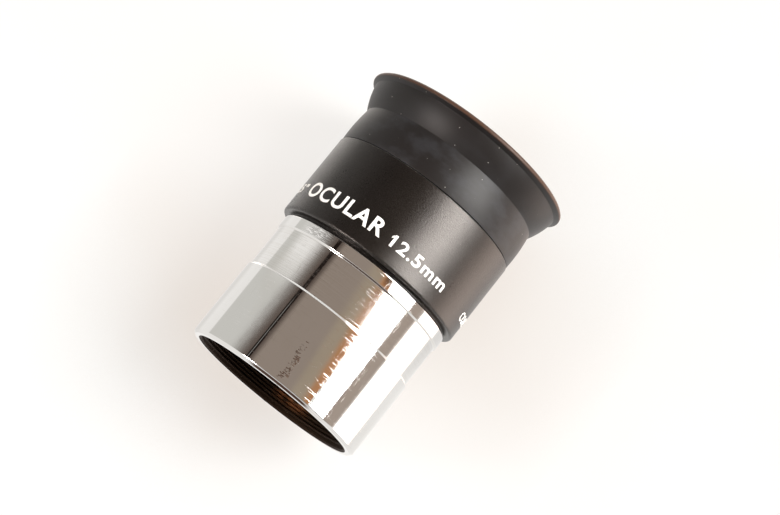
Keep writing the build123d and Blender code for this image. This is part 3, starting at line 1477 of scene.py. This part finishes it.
@dataclass
class Eyecup:
    """The fold-down rubber eyecup: a band round the housing's neck, a flared skirt and a lip."""

    finishes: Finishes
    lathe: Lathe
    low_z: float = 38.98
    band_low_r: float = 16.72
    band_bulge: float = 0.19
    neck_r: float = 16.49
    neck_z: float = 45.42
    flare_top_r: float = 18.12
    flare_top_z: float = 49.77
    flare_bulge: float = 0.22
    wall: float = 0.87
    band_steps: int = 14
    flare_steps: int = 20
    lip_low_z: float = 50.28
    lip_bevel_r: float = 0.32
    lip_bevel_z: float = 0.3
    lip_step_r: float = 0.6
    lip_step_z: float = 0.35
    lip_inner_bevel: float = 0.12
    groove_r: float = 15.15
    seat_r: float = 15.65
    flange_z: float = 43.95
    flange_slope: float = 0.3

    def outline(self, lip_r: float, high_z: float) -> Outline:
        """The eyecup's outline.

        Args:
            lip_r: The lip's radius.
            high_z: Height of its eye end.

        Returns:
            The closed outline.
        """
        inner_top_r = self.flare_top_r - self.wall
        inner_lip_r = inner_top_r + self.lip_step_r
        band = bulged((self.band_low_r, self.low_z), (self.neck_r, self.neck_z), self.band_bulge)
        flare = bulged((self.neck_r, self.neck_z), (self.flare_top_r, self.flare_top_z), self.flare_bulge)
        inside = bulged((inner_top_r, self.flare_top_z), (self.seat_r, self.neck_z), -self.flare_bulge)
        return Outline([
            Corner(self.band_low_r, self.low_z, 0.15),
            *curve_points(band, self.band_steps),
            Corner(self.neck_r, self.neck_z, 0.06),
            *curve_points(flare, self.flare_steps),
            Corner(self.flare_top_r, self.flare_top_z, 0.1),
            Corner(lip_r, self.lip_low_z, 0.12),
            Corner(lip_r, high_z - self.lip_bevel_z, 0.12),
            Corner(lip_r - self.lip_bevel_r, high_z, 0.12),
            Corner(inner_lip_r + self.lip_inner_bevel, high_z, 0.12),
            Corner(inner_lip_r, high_z - self.lip_step_z, 0.12),
            Corner(inner_top_r, self.flare_top_z, 0.1),
            *curve_points(inside, self.flare_steps),
            Corner(self.seat_r, self.neck_z, 0.06),
            Corner(self.seat_r, self.flange_z + self.flange_slope),
            Corner(self.groove_r, self.flange_z),
            Corner(self.groove_r, self.low_z, 0.1),
        ])

    def build(self) -> bpy.types.Object:
        """Turn the eyecup and hide the CAD nodes that it stands for.

        Returns:
            The eyecup.
        """
        _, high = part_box("eyecup_rim")
        outline = self.outline(high.x / MM, high.z / MM)
        cup = self.lathe.turn("eyecup_rubber", outline, self.finishes.rubber)
        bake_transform(cup)
        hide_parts("eyecup_band", "eyecup_skirt", "eyecup_rim")
        return cup


@dataclass(frozen=True)
class Doublet:
    """A cemented doublet: two lens glasses in one piece, flat on one side and domed on the other."""

    name: str
    nodes: tuple[str, str]
    flat_z: float
    edge_z: float
    vertex_z: float
    radius: float = 6.6
    blackened_from: float = 6.5
    dome_steps: int = 24
    segments: int = 128

    def outline(self) -> Outline:
        """The doublet's outline, from the flat face's centre to the domed face's.

        Returns:
            The open outline, with both ends on the axis.
        """
        depth = self.vertex_z - self.edge_z
        curve_r = (self.radius**2 + depth**2) / (2 * abs(depth))
        centre_z = self.vertex_z - math.copysign(curve_r, depth)

        def dome(share: float) -> tuple[float, float]:
            """Radius and height at a share of the way from the edge to the vertex."""
            r = self.radius * math.cos(share * math.pi / 2)
            return r, centre_z + math.copysign(math.sqrt(curve_r**2 - r**2), depth)

        return Outline([
            Corner(0.0, self.flat_z, 0.0),
            Corner(self.radius, self.flat_z, 0.08),
            Corner(self.radius, self.edge_z, 0.08),
            *curve_points(dome, self.dome_steps),
            Corner(0.0, self.vertex_z, 0.0),
        ], closed=False)

    def build(self, finishes: Finishes, lathe: Lathe) -> bpy.types.Object:
        """Turn the doublet, with a blackened edge.

        Args:
            finishes: Every finish.
            lathe: The lathe.

        Returns:
            The doublet.
        """
        glass = lathe.turn(self.name, self.outline(), finishes.glass, self.segments)
        low_z = min(self.flat_z, self.edge_z)
        high_z = max(self.flat_z, self.edge_z)
        dress_inside(glass, finishes.matt, lambda r, z: r > self.blackened_from and low_z < z < high_z)
        settle(glass, self.nodes)
        return glass


@dataclass
class Optics:
    """The lens cell, its two doublets and rings, and the field stop."""

    finishes: Finishes
    lathe: Lathe
    bore_r: float = 6.65
    tube_r: float = 8.6
    flange_r: float = 10.6
    flange_low_z: float = 40.4
    flange_high_z: float = 41.6
    thread_r: float = 9.2
    lip_r: float = 5.9
    lip_flare: float = 0.7
    lip_height: float = 0.2
    lens_clearance: float = 0.005
    eye_face_z: float = 43.0
    cell_segments: int = 144
    doublets: tuple[Doublet, ...] = (
        Doublet("eye_doublet", ("eye_lens_flint", "eye_lens_crown"), 43.0, 38.905, 36.39),
        Doublet("field_doublet", ("field_lens_flint", "field_lens_crown"), 29.18, 33.275, 35.79),
    )

    def cell_outline(self, low_z: float, high_z: float) -> Outline:
        """The lens cell's outline.

        Args:
            low_z: Height of its lower end.
            high_z: Height of its eye end.

        Returns:
            The closed outline.
        """
        seat_z = self.eye_face_z + self.lens_clearance
        return Outline([
            Corner(self.bore_r, low_z),
            Corner(self.tube_r, low_z, 0.15),
            Corner(self.tube_r, self.flange_low_z),
            Corner(self.flange_r, self.flange_low_z),
            Corner(self.flange_r, self.flange_high_z),
            Corner(self.thread_r, self.flange_high_z),
            Corner(self.thread_r, high_z, 0.15),
            Corner(self.lip_r + self.lip_flare, high_z, 0.08),
            Corner(self.lip_r, self.eye_face_z + self.lip_height),
            Corner(self.lip_r, seat_z, 0.02),
            Corner(self.bore_r, seat_z, 0.02),
        ])

    def build(self) -> None:
        """Turn the cell and the doublets, and dress the rings."""
        low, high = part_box("lens_cell")
        outline = self.cell_outline(low.z / MM, high.z / MM)
        cell = self.lathe.turn("lens_cell_tube", outline, self.finishes.matt, self.cell_segments)
        settle(cell, ["lens_cell"])
        for doublet in self.doublets:
            doublet.build(self.finishes, self.lathe)
        for node in ("lens_spacer", "cell_retaining_ring", "field_stop_disc", "field_stop_ring"):
            redress(node, self.finishes.matt)


# ---------------------------------------------------------------- studio
@dataclass(frozen=True)
class Panel:
    """One panel of the studio, as it is seen from the eyepiece.

    Azimuth runs from -Y towards +X and elevation from level upwards, both in degrees. An edge is how far
    its softness reaches. A leaning left side moves towards -X as it rises, by lean degrees for each degree
    that is within the sky's reach of its level. A frayed one is broken into strands that reach out by fray
    degrees.
    """

    left: float
    right: float
    colour: Colour
    left_edge: float = 1.5
    right_edge: float = 1.5
    low: float = -14.0
    high: float = 34.0
    low_edge: float = 20.0
    high_edge: float = 12.0
    lean: float = 0.0
    fray: float = 0.0


@dataclass
class Sky:
    """Directions in the world's tree, for hanging panels."""

    bench: Bench
    azimuth: Socket
    elevation: Socket
    strands: Socket
    level: float = 8.0
    reach: float = 6.0

    def hang(self, panel: Panel, light: Feed) -> Socket:
        """Hang one panel in front of the light so far.

        Args:
            panel: The panel.
            light: The colour so far.

        Returns:
            The colour with the panel in it.
        """
        bench = self.bench
        risen = bench.math("SUBTRACT", self.elevation, self.level)
        risen = bench.math("MAXIMUM", bench.math("MINIMUM", risen, self.reach), -self.reach)
        leaning = bench.math("MULTIPLY_ADD", risen, panel.lean, self.azimuth)
        frayed = bench.math("MULTIPLY_ADD", self.strands, panel.fray, leaning)
        mask = bench.product(
            bench.edge(frayed, panel.left, panel.left_edge),
            bench.edge(self.azimuth, panel.right, -panel.right_edge),
            bench.edge(self.elevation, panel.low, panel.low_edge),
            bench.edge(self.elevation, panel.high, -panel.high_edge))
        return bench.blend(mask, light, panel.colour)


@dataclass(frozen=True)
class Paper:
    """The paper of one card.

    lit_share is how much of its brightness comes from the studio's light, on paper of lit_albedo, and the
    rest is its own. Within shade_reach millimetres of the eyepiece it turns towards the shaded colour. An
    uneven shade is fainter on two of the eyepiece's four sides.
    """

    name: str
    lit_share: float
    lit_albedo: float
    shaded: Colour
    shade_reach: float
    uneven: bool


@dataclass
class Studio:
    """Soft light from all round, a pale floor, and a pale table behind the eyepiece."""

    white: Colour = (1.0, 0.98, 0.955)
    overhead: Colour = (1.25, 1.24, 1.22)
    paper: Colour = (1.0, 0.968, 0.935)
    bright_paper: Colour = (1.0, 0.995, 0.975)
    floor: Paper = Paper("floor", 0.5, 0.29, (0.30, 0.27, 0.245), 12.0, uneven=False)
    table: Paper = Paper("table", 0.2, 0.11, (0.75, 0.64, 0.55), 32.0, uneven=True)
    shade_curve: float = 0.6
    shade_samples: int = 12
    card_reach: float = 3000.0
    table_gap: float = 0.05
    strand_length: float = 6.0
    strand_height: float = 0.017
    strand_roughness: float = 0.6
    even_height: float = 18.0
    faint_below: float = -450.0
    full_above: float = 350.0
    overhead_low: float = 38.0
    overhead_high: float = 62.0
    clouds: Pattern = Pattern(70.0, 70.0, 0.35, 0.65)
    panels: tuple[Panel, ...] = (
        Panel(-200.0, 200.0, (0.10, 0.062, 0.048), low=-100.0, high=-68.0, high_edge=7.0),
        Panel(-178.0, -122.0, (2.3, 2.15, 2.0), left_edge=6.0, right_edge=12.0, low=13.5, low_edge=3.0,
              high=24.0, high_edge=8.0),
        Panel(122.0, 178.0, (1.75, 1.5, 1.36), left_edge=12.0, right_edge=6.0, low=13.5, low_edge=3.0,
              high=50.0),
        Panel(-30.0, 80.0, (0.12, 0.095, 0.085), left_edge=20.0, right_edge=10.0, low=-33.0, low_edge=8.0,
              high=-10.0, high_edge=10.0),
        Panel(-174.0, -146.0, (0.83, 0.81, 0.785), left_edge=8.0, right_edge=16.0, high=12.0, high_edge=3.0),
        Panel(-118.0, -30.0, (0.70, 0.69, 0.655), left_edge=3.0),
        Panel(-100.0, -62.0, (1.02, 1.0, 0.975), left_edge=18.0, right_edge=8.0, low=9.0, low_edge=1.2),
        Panel(-65.0, -30.0, (0.125, 0.095, 0.08), left_edge=28.0, fray=30.0),
        Panel(-51.0, -46.3, (0.015, 0.010, 0.008), left_edge=1.2, right_edge=1.0),
        Panel(-49.2, -48.6, (0.36, 0.35, 0.33), left_edge=0.5, right_edge=0.5, high=8.4, high_edge=0.6),
        Panel(-42.0, 39.0, (0.335, 0.275, 0.232), left_edge=8.0, right_edge=1.0),
        Panel(-100.0, 10.0, (0.09, 0.075, 0.068), left_edge=40.0, right_edge=30.0, low=13.5, low_edge=4.0),
        Panel(9.0, 39.0, (0.40, 0.33, 0.25), left_edge=10.0, lean=4.0, fray=16.0),
        Panel(26.0, 39.0, (0.52, 0.25, 0.115), left_edge=3.0, lean=4.0, fray=30.0),
        Panel(19.5, 30.0, (0.03, 0.02, 0.018), left_edge=3.0, low=10.35, low_edge=0.25, high=12.0,
              high_edge=1.0),
        Panel(40.0, 64.5, (16.0, 16.0, 15.8), left_edge=1.0, lean=4.0, fray=16.0, low=1.0, low_edge=6.0,
              high=32.0),
        Panel(21.5, 52.0, (27.0, 26.7, 26.0), left_edge=8.0, right_edge=4.0, low=12.6, low_edge=1.2,
              high=32.0),
        Panel(54.0, 84.0, (0.26, 0.21, 0.18), left_edge=6.0, right_edge=2.0, low=11.5, low_edge=1.0,
              high=40.0),
        Panel(65.0, 83.0, (0.46, 0.38, 0.325), left_edge=1.0, right_edge=4.0),
        Panel(85.0, 125.0, (3.5, 3.0, 2.7), left_edge=2.0, right_edge=8.0, high=40.0),
        Panel(130.0, 172.0, (0.88, 0.86, 0.845), left_edge=6.0, right_edge=12.0, low=9.0, low_edge=1.5,
              high=12.0, high_edge=3.0),
        Panel(-57.0, -38.0, (35.0, 31.5, 30.0), left_edge=6.0, right_edge=6.0, low=-33.0, low_edge=6.0,
              high=-22.0, high_edge=5.0),
    )

    def world(self) -> None:
        """Light the scene from all round."""
        world = bpy.data.worlds.new("studio")
        bpy.context.scene.world = world
        world.use_nodes = True
        bench = Bench(world.node_tree)
        towards = bench.add("ShaderNodeTexCoord").outputs["Generated"]
        way = bench.axes(towards)
        turn = bench.math("ARCTAN2", way["X"], bench.product(way["Y"], -1.0))
        azimuth = bench.math("DEGREES", turn)
        elevation = bench.math("DEGREES", bench.math("ARCSINE", way["Z"]))
        drawn_out = bench.add(
            "ShaderNodeCombineXYZ",
            X=bench.math("DIVIDE", azimuth, self.strand_length),
            Y=bench.math("DIVIDE", elevation, self.strand_height)).outputs[0]
        strands = bench.math("SUBTRACT", bench.noise(drawn_out, roughness=self.strand_roughness), 0.5)
        sky = Sky(bench, azimuth, elevation, strands)
        light = self.white
        for panel in self.panels:
            light = sky.hang(panel, light)
        risen = bench.step(elevation, self.overhead_low, self.overhead_high)
        light = bench.blend(risen, light, self.overhead)
        seen = bench.add("ShaderNodeLightPath").outputs["Is Camera Ray"]
        surface = world.node_tree.nodes["Background"]
        bench.put(surface.inputs["Color"], bench.blend(seen, light, self.paper))

    def card(self, paper: Paper, matrix: Matrix) -> None:
        """Place one card of the set. It is seen from its front alone, and sends no light to the eyepiece.

        Args:
            paper: Its paper.
            matrix: Its place and turn, with its front along its own +Z.
        """
        reach = self.card_reach * MM
        corners = [(-reach, -reach, 0), (reach, -reach, 0), (reach, reach, 0), (-reach, reach, 0)]
        mesh = bpy.data.meshes.new(paper.name)
        mesh.from_pydata(corners, [], [(0, 1, 2, 3)])
        mesh.transform(matrix)
        card = bpy.data.objects.new(paper.name, mesh)
        bpy.context.scene.collection.objects.link(card)
        mesh.materials.append(self.card_material(paper))
        card.visible_diffuse = False
        card.visible_glossy = False
        card.visible_transmission = False
        card.visible_shadow = False

    def shade(self, bench: Bench, place: Socket, paper: Paper) -> Socket:
        """How strongly a card is shaded, which is more on some sides of the eyepiece than on others.

        Args:
            bench: The material's tree.
            place: Object coordinates.
            paper: The card's paper.

        Returns:
            The shade, from 0 to 1.
        """
        open_sky = bench.add(
            "ShaderNodeAmbientOcclusion", {"samples": self.shade_samples}, Distance=paper.shade_reach * MM)
        covered = bench.math("SUBTRACT", 1.0, open_sky.outputs["AO"])
        shade = bench.math("POWER", covered, self.shade_curve)
        if not paper.uneven:
            return shade
        axes = bench.axes(place)
        risen = bench.math("SUBTRACT", axes["Z"], self.even_height * MM)
        corner = bench.product(axes["X"], risen)
        return bench.product(shade, bench.step(corner, self.faint_below * MM**2, self.full_above * MM**2))

    def card_material(self, paper: Paper) -> bpy.types.Material:
        """Pale card with a soft shade near the eyepiece, clear from behind.

        Args:
            paper: The card's paper.

        Returns:
            The material.
        """
        material = bpy.data.materials.new(paper.name)
        material.use_nodes = True
        bench = Bench(material.node_tree)
        material.node_tree.nodes.remove(material.node_tree.nodes["Principled BSDF"])
        out = material.node_tree.nodes["Material Output"]
        place = bench.add("ShaderNodeTexCoord").outputs["Object"]
        tint = bench.blend(bench.spread(place, self.clouds), self.paper, self.bright_paper)
        tint = bench.blend(self.shade(bench, place, paper), tint, paper.shaded)
        glow = bench.add("ShaderNodeEmission", Color=tint, Strength=1.0 - paper.lit_share)
        matt = bench.add("ShaderNodeBsdfDiffuse", Color=(paper.lit_albedo,) * 3)
        front = bench.add("ShaderNodeAddShader")
        bench.put(front.inputs[0], glow.outputs[0])
        bench.put(front.inputs[1], matt.outputs[0])
        clear = bench.add("ShaderNodeBsdfTransparent")
        behind = bench.add("ShaderNodeNewGeometry").outputs["Backfacing"]
        mixed = bench.add("ShaderNodeMixShader", Fac=behind)
        bench.put(mixed.inputs[1], front.outputs[0])
        bench.put(mixed.inputs[2], clear.outputs[0])
        bench.put(out.inputs["Surface"], mixed.outputs[0])
        return material

    def build(self) -> None:
        """Set the world, the floor and the table."""
        self.world()
        bpy.context.scene.view_settings.view_transform = "Standard"
        self.card(self.floor, Matrix.Identity(4))
        nose_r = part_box("nosepiece")[1].x
        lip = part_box("eyecup_rim")[1]
        lean = math.atan((lip.x - nose_r) / lip.z)
        place = Matrix.Translation((0, nose_r + self.table_gap * MM, 0))
        self.card(self.table, place @ Matrix.Rotation(math.pi / 2 - lean, 4, "X"))


@dataclass
class StudioCamera:
    """The camera, below the open end and rolled so that the eye end points up to the right."""

    lens: float = 98.64
    stand_off: float = 335.7
    height: float = -35.86
    pitch_degrees: float = 10.93
    yaw_degrees: float = 0.19
    roll_degrees: float = 38.62
    clip_start: float = 10.0
    clip_end: float = 20000.0

    def build(self) -> None:
        """Place the camera."""
        pitch = math.radians(self.pitch_degrees)
        yaw = math.radians(self.yaw_degrees)
        roll = math.radians(self.roll_degrees)
        ahead = Vector((math.sin(yaw) * math.cos(pitch), math.cos(yaw) * math.cos(pitch), math.sin(pitch)))
        level = ahead.cross(Vector((0, 0, 1))).normalized()
        upward = level.cross(ahead)
        right = level * math.cos(roll) + upward * math.sin(roll)
        up = upward * math.cos(roll) - level * math.sin(roll)
        turn = Matrix((right, up, -ahead)).transposed().to_4x4()
        data = bpy.data.cameras.new("studio_camera")
        data.lens = self.lens
        data.clip_start = self.clip_start * MM
        data.clip_end = self.clip_end * MM
        camera = bpy.data.objects.new("studio_camera", data)
        stand = Matrix.Translation((0, -self.stand_off * MM, self.height * MM))
        camera.matrix_world = stand @ turn
        bpy.context.scene.collection.objects.link(camera)
        bpy.context.scene.camera = camera


def main() -> None:
    """Build the eyepiece piece by piece, then its studio."""
    logging.basicConfig(level=logging.INFO, format="%(name)s: %(message)s")
    StudioCamera().build()
    finishes = Finishes()
    lathe = Lathe()
    parts = {
        "nosepiece": Nosepiece(finishes, lathe, ThreadCutter()),
        "housing": Housing(finishes, lathe),
        "marking": Marking(finishes, Wrapper()),
        "eyecup": Eyecup(finishes, lathe),
        "optics": Optics(finishes, lathe),
        "studio": Studio(),
    }
    for name, part in parts.items():
        part.build()
        log.info("built %s", name)
    for piece in bpy.data.objects:
        if piece.type == "MESH":
            log.info("%s: %d faces", piece.name, len(piece.data.polygons))


if __name__ == "__main__":
    main()
